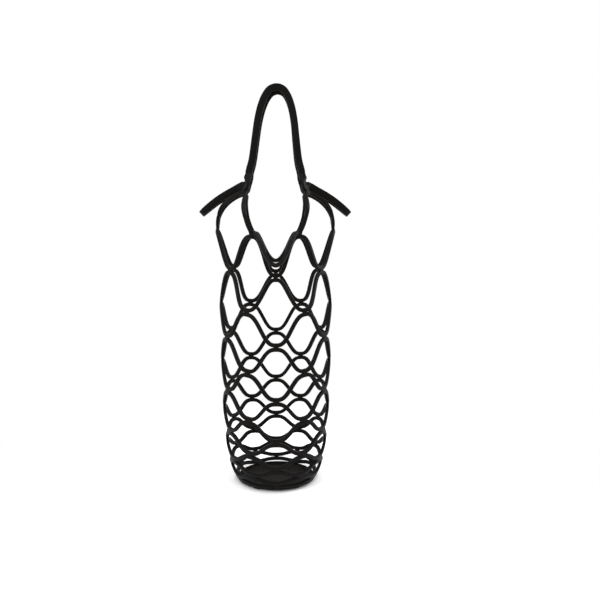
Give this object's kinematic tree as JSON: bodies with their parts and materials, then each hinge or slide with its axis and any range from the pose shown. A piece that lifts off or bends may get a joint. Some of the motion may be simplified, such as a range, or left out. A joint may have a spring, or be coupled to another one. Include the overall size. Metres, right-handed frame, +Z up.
{
  "type": "bottle net carrier",
  "caption": "Stretchy rubber net carrier for a wine bottle, with a round base, slit rings that open into a diamond net, handle loops and side ears.",
  "frame": {"origin": "middle of the base on the floor", "axes": "+Z up, -Y front, +X to the right seen from the front"},
  "size_m": [0.1474, 0.1274, 0.3847],
  "materials": {
    "rubber": "satin"
  },
  "bodies": {
    "net": {"base_disc": "rubber", "ring_01": "rubber", "ring_02": "rubber", "ring_03": "rubber", "ring_04": "rubber", "ring_05": "rubber", "ring_06": "rubber", "ring_07": "rubber", "ring_08": "rubber", "ring_09": "rubber", "ring_10": "rubber", "ring_11": "rubber", "ring_12": "rubber", "ring_13": "rubber"},
    "crown": {"pad_front_right": "rubber", "pad_front_left": "rubber", "pad_back_right": "rubber", "pad_back_left": "rubber"},
    "loop_front": {"handle_front": "rubber"},
    "loop_back": {"handle_back": "rubber"},
    "wing_right": {"ear_right": "rubber"},
    "wing_left": {"ear_left": "rubber"}
  },
  "joints": [
    {"name": "net_collapse", "type": "slide", "parent": "net", "child": "crown", "axis": [0, 0, -1], "range_m": [0, 0.085], "deforming": ["ring_01", "ring_02", "ring_03", "ring_04", "ring_05", "ring_06", "ring_07", "ring_08", "ring_09", "ring_10", "ring_11", "ring_12", "ring_13"]},
    {"name": "handle_front_fold", "type": "hinge", "parent": "crown", "child": "loop_front", "pos_m": [0, -0.015, 0.30139], "axis": [1, 0, 0], "range_deg": [0, 90]},
    {"name": "handle_back_fold", "type": "hinge", "parent": "crown", "child": "loop_back", "pos_m": [0, 0.015, 0.30139], "axis": [-1, 0, 0], "range_deg": [0, 90]},
    {"name": "ear_right_fold", "type": "hinge", "parent": "crown", "child": "wing_right", "pos_m": [0.03083, 0, 0.28759], "axis": [0, -1, 0], "range_deg": [0, 90]},
    {"name": "ear_left_fold", "type": "hinge", "parent": "crown", "child": "wing_left", "pos_m": [-0.03083, 0, 0.28759], "axis": [0, 1, 0], "range_deg": [0, 90]}
  ]
}
